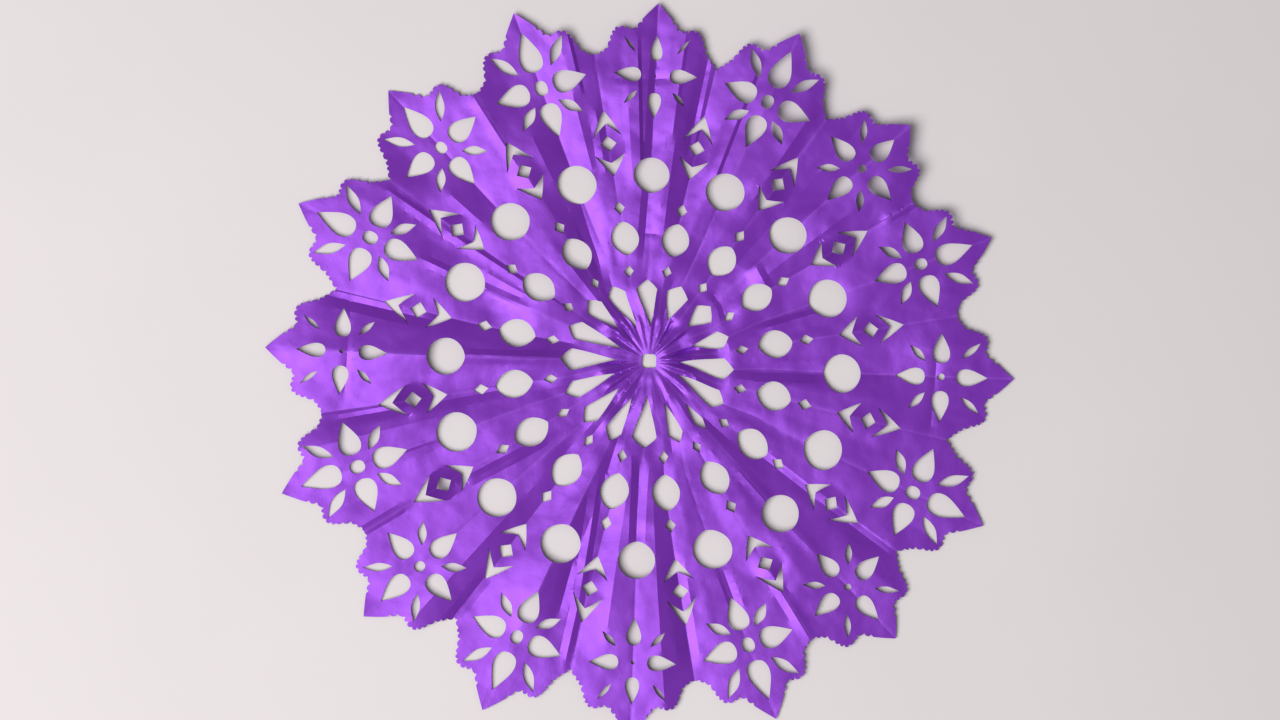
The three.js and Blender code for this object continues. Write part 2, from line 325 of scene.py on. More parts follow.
def halfLobeOutlines(lobe, side, notchDepth):
    opening = flowerOpening[lobe]
    flower = {name: opened(slimFlower[name], fullFlower[name], opening) for name in slimFlower}
    circle = pattern["circle"]
    circleSize = 2 * opened(circle["slimRadius"], circle["fullRadius"], opening)
    kite = {**pattern["kite"], "width": kiteWidth[lobe]}
    kite["inner"] += kiteStart[lobe]
    middle = [
        kiteHalf(**kite),
        roundHalf(circle["centre"], circleSize, circleSize, circle["innerPoint"], circle["outerPoint"]),
        petalHalf(*flower["inner"], direction=-1),
        roundHalf(pattern["flower"], flower["eye"] * flowerEyeStretch, flower["eye"], flowerEyePoint,
                  flowerEyePoint),
        petalHalf(*flower["outer"]),
    ]
    between = [
        diamondHalf(**pattern["smallDiamond"]),
        roundHalf(**pattern["oval"]),
        diamondHalf(**pattern["largeDiamond"]),
        chevronHalf(**pattern["innerChevron"]),
        diamondHalf(**pattern["eye"]),
        chevronHalf(**pattern["outerChevron"]),
    ]
    lobeLine = alongFold(middle, holeEdge(2 * lobe), pattern["tip"])
    notchLine = [toNotchFold(point) for point in
                 alongFold(between, holeEdge(2 * lobe + side), pattern["tip"] - notchDepth)]
    rim = [*lobeLine, *snippedEdge(notchDepth)[1:-1], *notchLine[::-1]]
    holes = [crossPetal(*flower["cross"]), slitLeaf(*flower["outerSlit"]), slitLeaf(*flower["innerSlit"])]
    return rim, holes


def isInside(points, outline):
    # whether each point is inside a closed outline: a line from it crosses the outline an odd number
    # of times
    x, y = points[:, 0, None], points[:, 1, None]
    start = np.array(outline, float)
    finish = np.roll(start, -1, axis=0)
    crosses = (start[:, 1] > y) != (finish[:, 1] > y)
    rise = np.where(finish[:, 1] == start[:, 1], 1, finish[:, 1] - start[:, 1])
    meets = start[:, 0] + (y - start[:, 1]) * (finish[:, 0] - start[:, 0]) / rise
    return np.sum(crosses & (x < meets), axis=1) % 2 == 1


def inPaper(points, rim, holes):
    return isInside(points, rim) & ~np.any([isInside(points, hole) for hole in holes], axis=0)


def stopsInside(rim, holes, creased):
    # rows of stops, close together beside the fold lines, where the paper bends most, and
    # stops of their own along the creases
    stops, radius, row = [], grain["firstRow"], 0
    while radius < pattern["tip"] - 1:
        width = foldAngle * radius
        beside = [d for d in grain["besideFold"] if d < width / 2 - grain["clearOfMiddle"]]
        nearest = beside[-1] if beside else 0
        column = grain["hubColumn"] if radius < grain["hubRadius"] else grain["column"]
        count = max(1, round((width / 2 - nearest) / column))
        shift = grain["shift"] * (row % 2)
        half = [*beside, *[nearest + (width / 2 - nearest) * (i + shift) / count for i in range(1, count)]]
        for distance in [*half, width / 2, *[width - d for d in half]]:
            turn = distance / radius
            stops.append((radius * math.cos(turn), radius * math.sin(turn)))
        radius += grain["hubRow"] if radius < grain["hubRadius"] else grain["row"]
        row += 1
    stops = np.array(stops)
    if len(creased):
        stops = stops[distanceTo(creased, stops) > grain["crease"] * grain["clearOfCrease"]]
        stops = np.concatenate([stops, creased])
    cuts = np.array([*rim, *[point for hole in holes for point in hole]], float)
    return stops[inPaper(stops, rim, holes) & (distanceTo(cuts, stops) > grain["clear"])]


def distanceTo(points, stops):
    return np.min(np.hypot(*(stops[:, None, :] - points[None, :, :]).transpose(2, 0, 1)), axis=1)


def halfLobe(lobe, side, notchDepth, creased):
    # the flat half lobe as fold number, radius and triangles
    rim, holes = halfLobeOutlines(lobe, side, notchDepth)
    points, edges = [], []
    for loop in [rim, *holes]:
        first = len(points)
        points += loop
        edges += [(first + i, first + (i + 1) % len(loop)) for i in range(len(loop))]
    points += [Vector(stop) for stop in stopsInside(rim, holes, creased)]
    spots, _, triangles, *_ = delaunay_2d_cdt(points, edges, [], 0, grain["closest"])
    spots, triangles = np.array(spots, float), np.array(triangles)
    triangles = triangles[inPaper(spots[triangles].mean(axis=1), rim, holes)]
    corner = spots[triangles]
    across, up = corner[:, 1] - corner[:, 0], corner[:, 2] - corner[:, 0]
    clockwise = across[:, 0] * up[:, 1] - across[:, 1] * up[:, 0] < 0
    triangles[clockwise] = triangles[clockwise][:, ::-1]
    return np.arctan2(spots[:, 1], spots[:, 0]) / foldAngle, np.hypot(*spots.T), triangles


# Each lobe has crept in or out, or turned, by a few millimetres. Lists of 16 have a value for
# each lobe, and lists of 32 for each fold line, clockwise from the middle of the first lobe.
lay = {
    "lobeTurn": [0, 0.2, 0.4, -0.3, -0.6, 0, -0.5, -0.8, -0.6, 0, 0.7, 0.7, 0.5, 0.4, -0.1, 0],
    "circleReach": [-3, -2.5, -0.5, 0.5, 2.5, 1.5, 4, -0.5, -1.5, -0.5, 0, 1, 1, 0.5, 0.5, -2],
    "flowerReach": [-4, -3, -1, -0.5, 1, 0.5, 2.5, 0, -1, 0.5, 1.5, 3.5, 3, 3, 0.5, -0.5],
    "tipReach": [-7, -4, -9.5, -1.5, -2, 1, -2, 1.5, -5, 3, 0, 5.5, 2.5, 4.5, 1, 1.5],
    # the middle of the sheet lies off its centre, and less so further out
    "drift": {"x": 4.3, "y": 4.0, "radius": 80},
    # sideways swing of the strips between the kites, in mm clockwise, and the radii it goes through
    "swing": [-2, -2, -1, 0.5, 0.5, 3, 2.5, 1.5, 2.5, 2.5, 3, 2, 1, 1, -2, -2,
              0, 2.5, 0.5, 0.5, -1.5, 0, -1, -1.5, 0.5, 0.5, 0, -0.5, 0, -2, -4.5, -3],
    "swingFrom": 24, "swingMost": 51, "swingTo": 84,
}

# Heights above the table on rings of the sheet: on each fold line, and midway to the next one.
# The paper runs straight between them, and the folds themselves keep a narrow groove.
relief = {
    "rings": [
        {"radius": 5, "folds": [
            2, 2, 2, 2, 2, 2, 2, 1.9, 1.8, 1.6, 1.5, 1.3, 1.1, 1, 0.9, 0.9,
            0.8, 0.8, 0.7, 0.7, 0.6, 0.6, 0.6, 0.6, 0.7, 0.8, 0.9, 1.1, 1.3, 1.5, 1.7, 1.9],
         "middles": [
            2, 2, 2, 2, 2, 2, 2, 1.8, 1.7, 1.6, 1.4, 1.2, 1, 1, 0.9, 0.8,
            0.8, 0.7, 0.7, 0.7, 0.6, 0.6, 0.6, 0.7, 0.7, 0.9, 1, 1.2, 1.4, 1.6, 1.8, 2]},
        {"radius": 13, "folds": [
            2, 2, 2.2, 2.6, 3, 3.3, 3.5, 3.5, 3.3, 3, 2.6, 2.4, 2.2, 2, 1.9, 1.8,
            1.7, 1.6, 1.5, 1.4, 1.3, 1.3, 1.3, 1.4, 1.5, 1.6, 1.8, 2, 2, 2, 2, 2],
         "middles": [
            2, 2.1, 2.4, 2.8, 3.1, 3.4, 3.5, 3.4, 3.2, 2.8, 2.5, 2.3, 2.1, 2, 1.8, 1.8,
            1.6, 1.6, 1.4, 1.4, 1.3, 1.3, 1.4, 1.5, 1.5, 1.7, 1.9, 2, 2, 2, 2, 2]},
        {"radius": 24, "folds": [
            1.7, 2, 1.6, 2.1, 2.1, 1.8, 1.5, 1.2, 1.3, 1.8, 2.1, 2.2, 2.4, 2.5, 2.6, 2.6,
            2.4, 2.3, 2.3, 2.3, 2.4, 2.4, 2.3, 2.3, 2.1, 2.3, 2.5, 2.6, 2.4, 2.2, 1.7, 2.2],
         "middles": [
            1.9, 2.3, 1.8, 2.3, 1.9, 1.6, 1.3, 1.2, 1.5, 1.9, 2.2, 2.3, 2.5, 2.6, 2.6, 2.7,
            2.4, 2.3, 2.3, 2.4, 2.4, 2.3, 2.3, 2.2, 2.3, 2.3, 2.7, 2.5, 2.3, 1.9, 1.8, 2.3]},
        {"radius": 34, "folds": [
            2, 2, 2, 2.6, 2.4, 2.2, 2.2, 3.2, 2, 2, 2, 2, 2, 2.2, 2, 2,
            2, 2.2, 2.1, 1.8, 2, 2.2, 2.2, 2.1, 2, 2, 2, 2.2, 2, 2, 2, 2],
         "middles": [
            3.1, 0.9, 2.9, 2.6, 2.3, 2.3, 2.2, 3.6, 1.2, 3.1, 2.1, 1.9, 2.5, 1.8, 2, 2,
            2.8, 1.6, 1.3, 1.8, 2.2, 2.2, 1.6, 2.7, 1.8, 2.2, 1.1, 3, 2.6, 0.9, 1.4, 2.7]},
        {"radius": 46, "folds": [
            1.5, 1.5, 1.5, 1.8, 1.5, 1, 1.5, 1.2, 1.5, 1.6, 1.5, 2, 1.5, 2.4, 1.5, 2,
            1.5, 2, 1.5, 3.6, 1.5, 2, 1.5, 2, 1.5, 2, 1.5, 2, 1.5, 2, 1.5, 2],
         "middles": [
            2.5, 0.6, 2.2, 1.4, 1, 1, 0.7, 1.9, 0.6, 2.6, 2, 2, 2.7, 2, 2, 2,
            3, 1, 3.1, 4, 2, 2, 1, 3.5, 2.3, 1.7, 2.9, 1.1, 3.3, 0.7, 1, 3]},
        {"radius": 57, "folds": [
            1.5, 2, 1, 1, 1, 1.5, 2.5, 3.5, 2.5, 3.5, 2.5, 3, 4, 4, 3, 2.5,
            2.5, 3, 3, 1.5, 2, 2, 2, 2.5, 5, 1, 3, 3, 3, 3, 1.5, 2],
         "middles": [
            1.5, 1, 1, 1, 1.5, 2, 3, 3.5, 3.5, 3, 2.5, 2.5, 4.5, 3.5, 2, 2,
            3, 2, 3, 2.5, 2, 2, 1.5, 3.5, 2.5, 2, 3, 3, 3.5, 2, 2, 2]},
        {"radius": 76, "folds": [
            3, 3.5, 1.5, 0.5, 1, 2.5, 1, 3, 2, 3.5, 2.5, 2.5, 4, 3, 3, 2,
            3.5, 3, 3.5, 1, 2.5, 2.5, 2.5, 1.5, 6, 1, 4, 4, 4.5, 3, 1.5, 2.5],
         "middles": [
            3, 2.5, 1, 0.5, 1, 2, 2.5, 2.5, 3.5, 2.5, 3, 2.5, 4, 3, 3, 3,
            4, 2, 3, 1, 2.5, 2.5, 1.5, 4, 3, 3, 4.5, 4.5, 5, 1, 1.5, 3]},
        {"radius": 110, "folds": [
            4, 2, 3, 2.4, 3.7, 1.4, 0.5, 3, 1.5, 3, 2.5, 2, 3.5, 4.5, 3.2, 2.8,
            4.5, 1, 5, 0.5, 3, 3, 3.5, 0.5, 6, 1, 1, 2.6, 3.5, 4, 0.5, 3],
         "middles": [
            4.5, 3.4, 3, 0.2, 3.8, 1.1, 2, 1.5, 3, 2.5, 2, 2, 4.5, 3.3, 3.5, 5,
            4, 1.5, 2, 2.5, 3.5, 3, 1.5, 3, 4, 0.5, 3, 2.8, 4, 1, 2.4, 3.5]},
        {"radius": 160, "folds": [
            3, 1.2, 6.4, 3.7, 7.6, 4.2, 4.8, 2.4, 0.5, 3, 3, 2, 4.5, 3.5, 2.8, 2.4,
            5, 2, 5.5, 0.5, 2, 2.5, 2, 2, 6.5, 0.7, 3.4, 1.2, 0.5, 3.5, 0.5, 1.5],
         "middles": [
            4.7, 4.7, 5.9, 2.3, 7.3, 4.4, 2.2, 1.2, 2.5, 2.5, 3, 3, 5, 3, 3.2, 6,
            5.5, 2, 3, 4, 2.5, 1.5, 4.5, 3, 4, 2.8, 1.5, 2.5, 2, 4, 2.8, 4.5]},
        {"radius": 205, "folds": [
            2.8, 3, 7.8, 6.3, 9.4, 6.5, 3.8, 2.6, 1.5, 2.5, 2, 1.5, 2.5, 3.4, 2.6, 1,
            3, 2, 2.5, 0, 1.5, 1.5, 1.5, 0.5, 5, 0, 3, 2.5, 0, 4, 2, 4],
         "middles": [
            4.4, 5, 7.6, 3.8, 9, 6.1, 2, 3.9, 1.5, 3, 1, 3.5, 3, 3, 2, 4.5,
            3, 2, 1, 4, 1.5, 0, 4.5, 2, 2.5, 1.5, 3.5, 0, 2, 1.5, 4.9, 4]},
        {"radius": 250, "folds": [
            3.2, 3.6, 8, 6.9, 9.7, 7.2, 3, 1.8, 0.8, 1.2, 1, 0.5, 1.2, 2, 1, 0,
            1.2, 1, 1.2, 0, 0.8, 0.6, 0.6, 0.2, 2, 0, 1.2, 1, 0, 1.6, 3, 4.5],
         "middles": [
            4.8, 5.4, 7.8, 5, 9.2, 7, 2, 2, 0.8, 1.5, 0.6, 1.5, 1.2, 1.5, 0.5, 2,
            1.2, 1, 0.5, 1.8, 0.6, 0, 2, 1, 1.2, 0.6, 1.6, 0, 1, 2, 6, 5]},
    ],
    "grooveDepth": 0.1, "grooveWidth": 1.6,
    "grooveFrom": (35, 70),  # radii over which it sets in
}

# The panels lie over each other in broad strips round the middle hole. Each strip starts at a fold
# number and ends where the next one starts, and is tilted across: over 0 it rises clockwise.
hub = {
    "strips": [(-1.1, 0.3), (0.4, 0.35), (1.7, -0.5), (2.3, 0.6), (4.4, 0.1), (6, 0.9), (7.8, 0.7),
               (9.4, 0.3), (11.2, 0.2), (13.4, 0.1), (15.6, 0), (17.4, 0.35), (19.4, -0.4), (20.6, -0.6),
               (22.2, -0.8), (23.8, 0), (25.6, -0.4), (27.4, -0.6), (28.9, -0.2), (29.7, 0.3)],
    "turnBack": 1.6,  # mm on each side of a strip that come back down
    "from": (5, 9), "to": (25, 36),  # radii over which the strips set in and die out
}

creaseFade = 0.2  # of a crease's length, at each end
# Creases beside the folds. A line goes outwards or clockwise through (fold, radius), and the
# paper rises to it, or sinks to it, over a few millimetres on its left and on its right.
creases = [
    {"line": [(-0.42, 62), (-0.04, 128), (0.03, 242)], "rise": -1.3, "left": 5, "right": 9},
    {"line": [(0.84, 140), (0.84, 222)], "rise": -1.0, "left": 6, "right": 3},
    {"line": [(1.62, 120), (1.64, 228)], "rise": 1.3, "left": 9, "right": 2.5},
    {"line": [(0.42, 150), (0.44, 236)], "rise": 0.9, "left": 8, "right": 2.5},
    {"line": [(-0.5, 91), (0.5, 90)], "rise": -0.4, "left": 3, "right": 3},
    {"line": [(-0.9, 197), (0.5, 199)], "rise": -0.4, "left": 3, "right": 4},
    {"line": [(2.72, 120), (2.75, 215)], "rise": 0.9, "left": 8, "right": 7},
    {"line": [(3.3, 66), (4.3, 64), (5.3, 60)], "rise": -0.7, "left": 12, "right": 4},
    {"line": [(3.9, 101), (5.0, 97)], "rise": 0.9, "left": 5, "right": 9},
    {"line": [(4.98, 186), (5.0, 224)], "rise": 0.9, "left": 3, "right": 4},
    {"line": [(6.3, 78), (6.28, 128)], "rise": 1.0, "left": 4, "right": 8},
    {"line": [(8.22, 58), (8.05, 128)], "rise": -1.0, "left": 8, "right": 6},
    {"line": [(7.3, 198), (9.1, 197)], "rise": -0.4, "left": 3, "right": 4},
    {"line": [(10.28, 60), (10.05, 125)], "rise": -0.5, "left": 8, "right": 7},
    {"line": [(11.2, 60), (11.1, 215)], "rise": -0.9, "left": 5, "right": 8},
    {"line": [(12.15, 75), (12.02, 180)], "rise": 0.5, "left": 6, "right": 4},
    {"line": [(13.03, 150), (13.03, 220)], "rise": 0.8, "left": 5, "right": 5},
    {"line": [(13.93, 142), (13.95, 180)], "rise": -0.9, "left": 5, "right": 5},
    {"line": [(15.0, 125), (15.0, 208)], "rise": -1.5, "left": 6, "right": 9},
    {"line": [(16.15, 60), (16.03, 128)], "rise": -1.5, "left": 6, "right": 5},
    {"line": [(17.9, 74), (17.35, 120), (17.15, 165), (17.1, 215)], "rise": 1.2, "left": 4, "right": 5},
    {"line": [(17.55, 135), (17.45, 180)], "rise": -0.9, "left": 5, "right": 6},
    {"line": [(19.02, 165), (19.05, 222)], "rise": -1.0, "left": 5, "right": 5},
    {"line": [(20.35, 72), (20.55, 100), (20.8, 150)], "rise": 1.2, "left": 4, "right": 4},
    {"line": [(21.0, 176), (21.0, 222)], "rise": 0.9, "left": 3, "right": 4},
    {"line": [(21.93, 142), (21.95, 178)], "rise": 0.9, "left": 5, "right": 4},
    {"line": [(22.88, 70), (22.86, 215)], "rise": -0.9, "left": 6, "right": 3},
    {"line": [(23.1, 198), (24.9, 197)], "rise": -0.5, "left": 4, "right": 3},
    {"line": [(24.12, 57), (24.08, 128)], "rise": 0.9, "left": 6, "right": 4},
    {"line": [(24.85, 140), (24.88, 218)], "rise": -1.5, "left": 7, "right": 4},
    {"line": [(26.1, 80), (26.06, 170)], "rise": 0.9, "left": 4, "right": 4},
    {"line": [(26.88, 55), (26.85, 220)], "rise": 0.8, "left": 5, "right": 3},
    {"line": [(28.95, 150), (28.93, 224)], "rise": 0.5, "left": 5, "right": 3},
    {"line": [(29.5, 60), (29.8, 98), (29.95, 130)], "rise": -1.3, "left": 8, "right": 9},
    {"line": [(30.8, 130), (30.86, 182)], "rise": 0.8, "left": 5, "right": 4},
    {"line": [(31.72, 118), (31.7, 232)], "rise": 1.4, "left": 10, "right": 2.5},
    {"line": [(30.66, 186), (30.64, 238)], "rise": 1.1, "left": 8, "right": 2.5},
]

# The flap round each eye stands clear of the sheet by its lift, and slopes outwards along the fold.
# It narrows to both sides, more at its outer end. Inner and outer are distances from the eye.
flaps = {
    "lift": [0.6, 1.2, 2.5, 0.5, 0.5, 0.8, 1.5, 0.5, 0.8, 0.3, 4, 4, 0.8, 1.5, 1.5, 0.8],
    "slope": [-0.12, -0.2, -0.3, -0.1, -0.08, -0.1, 0.15, 0.1,
              0.12, 0.05, 0.35, 0.35, 0.1, 0.2, -0.1, -0.1],
    "inner": -17.5, "outer": 18.3, "width": 10.8,
    "innerNarrowing": 0.6, "outerNarrowing": 0.8,
}


def aroundFolds(values, place):
    # straight from each value to the next, round the sheet
    values = np.array(values, float)
    below = np.floor(place).astype(int)
    share = place - below
    return values[below % len(values)] * (1 - share) + values[(below + 1) % len(values)] * share


def eased(low, high, value):
    share = np.clip((value - low) / (high - low), 0, 1)
    return share * share * (3 - 2 * share)


def flatPlace(fold, radius):
    turn = np.asarray(fold, float) * foldAngle
    return np.stack([radius * np.sin(turn), radius * np.cos(turn)], axis=-1)


def creaseHeight(crease, fold, radius):
    # a ridge or valley along a line, which fades out at both ends
    spots = flatPlace(fold, radius)
    line = flatPlace(*np.array(crease["line"], float).T)
    lengths = np.hypot(*np.diff(line, axis=0).T)
    nearest = np.full(len(spots), np.inf)
    across, along, before = np.zeros(len(spots)), np.zeros(len(spots)), 0
    for start, finish, length in zip(line, line[1:], lengths):
        direction = (finish - start) / length
        offset = spots - start
        share = np.clip(offset @ direction, 0, length)
        distance = np.hypot(*(offset - share[:, None] * direction).T)
        side = np.sign(direction[0] * offset[:, 1] - direction[1] * offset[:, 0])
        closer = distance < nearest
        nearest = np.where(closer, distance, nearest)
        across = np.where(closer, side * distance, across)
        along = np.where(closer, before + share, along)
        before += length
    width = np.where(across > 0, crease["left"], crease["right"])
    fade = np.clip(np.minimum(along, before - along) / (creaseFade * before), 0, 1)
    return crease["rise"] * fade * np.clip(1 - np.abs(across) / width, 0, 1)


def creaseStops(lobe, side):
    # stops along the creases of a half lobe, and along both edges of each
    stops = []
    for crease in creases:
        line = flatPlace(*np.array(crease["line"], float).T)
        for start, finish in zip(line, line[1:]):
            along = finish - start
            length = np.hypot(*along)
            sideways = np.array([-along[1], along[0]]) / length
            shares = np.linspace(0, 1, max(2, round(length / grain["crease"])))
            for offset in (0, crease["left"], -crease["right"]):
                stops.append(start + shares[:, None] * along + sideways * offset)
    spots = np.concatenate(stops)
    fold = np.arctan2(spots[:, 0], spots[:, 1]) / foldAngle
    across = side * ((fold - 2 * lobe + pattern["lobes"]) % foldCount - pattern["lobes"])
    spots, across = spots[(across > 0) & (across < 1)], across[(across > 0) & (across < 1)]
    radius, turn = np.hypot(*spots.T), across * foldAngle
    kept = []
    for spot in np.stack([radius * np.cos(turn), radius * np.sin(turn)], axis=1):
        if all(np.hypot(*(spot - other)) > grain["creaseClear"] * grain["crease"] for other in kept):
            kept.append(spot)
    return np.array(kept)


def hubHeight(fold, radius):
    # each strip is tilted round its middle line, and comes back down at both edges
    starts, tilts = np.array(hub["strips"]).T
    starts, tilts = np.append(starts, starts[0] + foldCount), np.append(tilts, tilts[0])
    place = (fold - starts[0]) % foldCount + starts[0]
    strip = np.searchsorted(starts, place, side="right") - 1
    mmPerFold = foldAngle * radius
    fromStart = (place - starts[strip]) * mmPerFold
    toEnd = (starts[strip + 1] - place) * mmPerFold
    nearEdge = np.clip(np.minimum(fromStart, toEnd) / hub["turnBack"], 0, 1)
    fade = eased(*hub["from"], radius) * (1 - eased(*hub["to"], radius))
    return tilts[strip] * (fromStart - toEnd) / 2 * nearEdge * fade


def flapHeight(fold, radius):
    odd = np.floor(fold / 2).astype(int)
    beside = np.abs((fold - 2 * odd - 1) * foldAngle * radius) / flaps["width"]
    outwards = radius - pattern["eye"]["centre"]
    inner = flaps["inner"] * (1 - flaps["innerNarrowing"] * beside)
    outer = flaps["outer"] * (1 - flaps["outerNarrowing"] * beside)
    onFlap = (beside < 1) & (outwards > inner) & (outwards < outer)
    lift = np.array(flaps["lift"])[odd % pattern["lobes"]]
    slope = np.array(flaps["slope"])[odd % pattern["lobes"]]
    return np.where(onFlap, (lift + slope * outwards) * (1 - beside), 0)


def heightOfPaper(fold, radius):
    rings = relief["rings"]
    height = np.zeros_like(radius)
    for i, ring in enumerate(rings):
        weight = np.ones_like(radius)
        if i > 0:
            weight *= eased(rings[i - 1]["radius"], ring["radius"], radius)
        if i < len(rings) - 1:
            weight *= 1 - eased(ring["radius"], rings[i + 1]["radius"], radius)
        heights = np.stack([ring["folds"], ring["middles"]], axis=1).ravel()
        height += weight * aroundFolds(heights, 2 * fold)
    fromFold = np.abs(fold - np.round(fold)) * foldAngle * radius
    groove = relief["grooveDepth"] * eased(*relief["grooveFrom"], radius)
    height -= groove * np.clip(1 - fromFold / relief["grooveWidth"], 0, 1)
    height += sum(creaseHeight(crease, fold, radius) for crease in creases)
    return height + hubHeight(fold, radius) + flapHeight(fold, radius)


def laidPaper(fold, radius):
    # from a place on the flat sheet to its place on the table, in millimetres
    lobe = fold / 2
    stops = [0, pattern["circle"]["centre"], pattern["flower"], pattern["tip"]]
    reaches = [np.zeros_like(fold)]
    reaches += [aroundFolds(lay[name], lobe) for name in ("circleReach", "flowerReach", "tipReach")]
    laidRadius = radius.copy()
    for inner, outer, low, high in zip(stops, stops[1:], reaches, reaches[1:]):
        share = (radius - inner) / (outer - inner)
        between = (share >= 0) & (share < 1) | (share >= 1) & (outer == stops[-1])
        laidRadius += np.where(between, low + (high - low) * share, 0)
    degrees = pattern["firstLobeTurn"] + fold * math.degrees(foldAngle) + aroundFolds(lay["lobeTurn"], lobe)
    swingShare = eased(lay["swingFrom"], lay["swingMost"], radius) * (
        1 - eased(lay["swingMost"], lay["swingTo"], radius))
    angle = np.radians(degrees) + aroundFolds(lay["swing"], fold) * swingShare / laidRadius
    drift = np.exp(-((laidRadius / lay["drift"]["radius"]) ** 2))
    x = laidRadius * np.sin(angle) + drift * lay["drift"]["x"]
    y = laidRadius * np.cos(angle) + drift * lay["drift"]["y"]
    return np.stack([x, y, heightOfPaper(fold, radius)], axis=1)


def paperMesh():
    spots, triangles, folds, count = [], [], [], 0
    for lobe in range(pattern["lobes"]):
        for side in (-1, 1):
            pair = ((2 * lobe + side) % foldCount) // 4
            notchDepth = pattern["notchDepth"] + (-1 if pair % 2 else 1) * pattern["notchStep"]
            across, radius, corners = halfLobe(lobe, side, notchDepth, creaseStops(lobe, side))
            fold = 2 * lobe + side * across
            spots.append(laidPaper(fold, radius))
            folds.append(np.abs(fold - np.round(fold)) * foldAngle * radius)
            triangles.append((corners if side < 0 else corners[:, ::-1]) + count)
            count += len(radius)
    spots = np.concatenate(spots)
    middle = np.array(sheetMiddle.xy) / mm - (spots[:, :2].max(0) + spots[:, :2].min(0)) / 2
    spots[:, :2] += middle
    spots[:, 2] -= spots[:, 2].min()
    mesh = bpy.data.meshes.new("flatPaper")
    mesh.from_pydata((spots * mm).tolist(), [], np.concatenate(triangles).tolist())
    fromFold = mesh.attributes.new("fromFold", "FLOAT", "POINT")
    fromFold.data.foreach_set("value", np.concatenate(folds).astype(np.float32))
    welded = bmesh.new()
    welded.from_mesh(mesh)
    bmesh.ops.remove_doubles(welded, verts=welded.verts, dist=grain["weld"] * mm)
    welded.to_mesh(mesh)
    welded.free()
    print("paper laid,", len(mesh.vertices), "stops and", len(mesh.polygons), "triangles")
    return mesh, Vector((*middle * mm, 0))


# Sockets of the Geometry Nodes tree. The larger a scale, the narrower its waves.
paper = {
    "Thickness": 0.1 * mm,
    "Buckle": 1.1 * mm, "Buckle Scale": 26.0,
    "Crumple": 0.42 * mm, "Crumple Scale": 75.0,
    "Seed": 4.0,
}
paperEdge = 9  # degrees: a sharper fold than this shows as a crisp line
mergeDistance = 0.001 * mm
paperNoise = {"roughness": 0.55, "buckleDetail": 1.0, "crumpleDetail": 2.0, "crumpleSeedStep": 7}


def paperTree(material):
    # raises buckles and crumples, gives the sheet its thickness and sets the material
    group = bpy.data.node_groups.new("crumpledPaper", "GeometryNodeTree")
    nodes = NodeTree(group)
    group.interface.new_socket("Geometry", in_out="INPUT", socket_type="NodeSocketGeometry")
    for name in paper:
        group.interface.new_socket(name, in_out="INPUT", socket_type="NodeSocketFloat")
    group.interface.new_socket("Geometry", in_out="OUTPUT", socket_type="NodeSocketGeometry")
    inputs = nodes.add("NodeGroupInput").outputs
    given = {name: Number(nodes, inputs[name]) for name in paper}

    place = nodes.output("GeometryNodeInputPosition")
    level = nodes.output("ShaderNodeVectorMath", {"operation": "MULTIPLY"}, {0: place, 1: (1, 1, 0)})

    def noise(scale, seed, detail):
        settings = {"noise_dimensions": "4D"}
        sockets = {"Vector": level, "W": seed, "Scale": scale, "Detail": detail,
                   "Roughness": paperNoise["roughness"]}
        return nodes.number("ShaderNodeTexNoise", settings, sockets) - 0.5

    otherSeed = given["Seed"] + paperNoise["crumpleSeedStep"]
    buckles = abs(noise(given["Buckle Scale"], given["Seed"], paperNoise["buckleDetail"]))
    crumples = noise(given["Crumple Scale"], otherSeed, paperNoise["crumpleDetail"])
    buckles = buckles * given["Buckle"] * 2
    crumples = crumples * given["Crumple"] * 2
    lift = nodes.output("ShaderNodeCombineXYZ", None, {"Z": buckles + crumples})
    raised = nodes.output("GeometryNodeSetPosition", None, {"Geometry": inputs["Geometry"], "Offset": lift})
    up = nodes.output("ShaderNodeCombineXYZ", None, {"Z": given["Thickness"]})
    upper = nodes.output("GeometryNodeExtrudeMesh", {"mode": "FACES"},
                         {"Mesh": raised, "Offset": up, "Offset Scale": 1.0, "Individual": False})
    lower = nodes.output("GeometryNodeFlipFaces", None, {"Mesh": raised})
    join = nodes.add("GeometryNodeJoinGeometry")
    for part in (lower, upper):
        group.links.new(part, join.inputs[0])
    closed = nodes.output("GeometryNodeMergeByDistance", None,
                          {"Geometry": join.outputs[0], "Distance": mergeDistance})
    smooth = nodes.output("GeometryNodeSetShadeSmooth", {"domain": "FACE"}, {"Geometry": closed})
    corner = nodes.number("GeometryNodeInputMeshEdgeAngle", None, None, "Unsigned Angle")
    sharp = corner.calculate("GREATER_THAN", corner, math.radians(paperEdge))
    edged = nodes.output("GeometryNodeSetShadeSmooth", {"domain": "EDGE"},
                         {"Geometry": smooth, "Selection": sharp, "Shade Smooth": False})
    real = nodes.output("GeometryNodeRealizeInstances", None, {"Geometry": edged})
    finished = nodes.output("GeometryNodeSetMaterial", None, {"Geometry": real, "Material": material})
    nodes.add("NodeGroupOutput", None, {"Geometry": finished})
    return group


def finishedSheet(mesh, material):
    rosette = bpy.data.objects.new("paperRosette", mesh)
    scene.collection.objects.link(rosette)
    modifier = rosette.modifiers.new("crumpledPaper", "NODES")
    modifier.node_group = paperTree(material)
    for socket in modifier.node_group.interface.items_tree:
        if socket.in_out == "INPUT" and socket.name in paper:
            modifier[socket.identifier] = paper[socket.name]
    bpy.context.view_layer.update()
    evaluated = rosette.evaluated_get(bpy.context.evaluated_depsgraph_get())
    made = bpy.data.meshes.new_from_object(evaluated)
    rosette.modifiers.clear()
    rosette.data = made
    made.name = "paperRosette"
    print("sheet finished,", len(made.polygons), "faces")
    return rosette


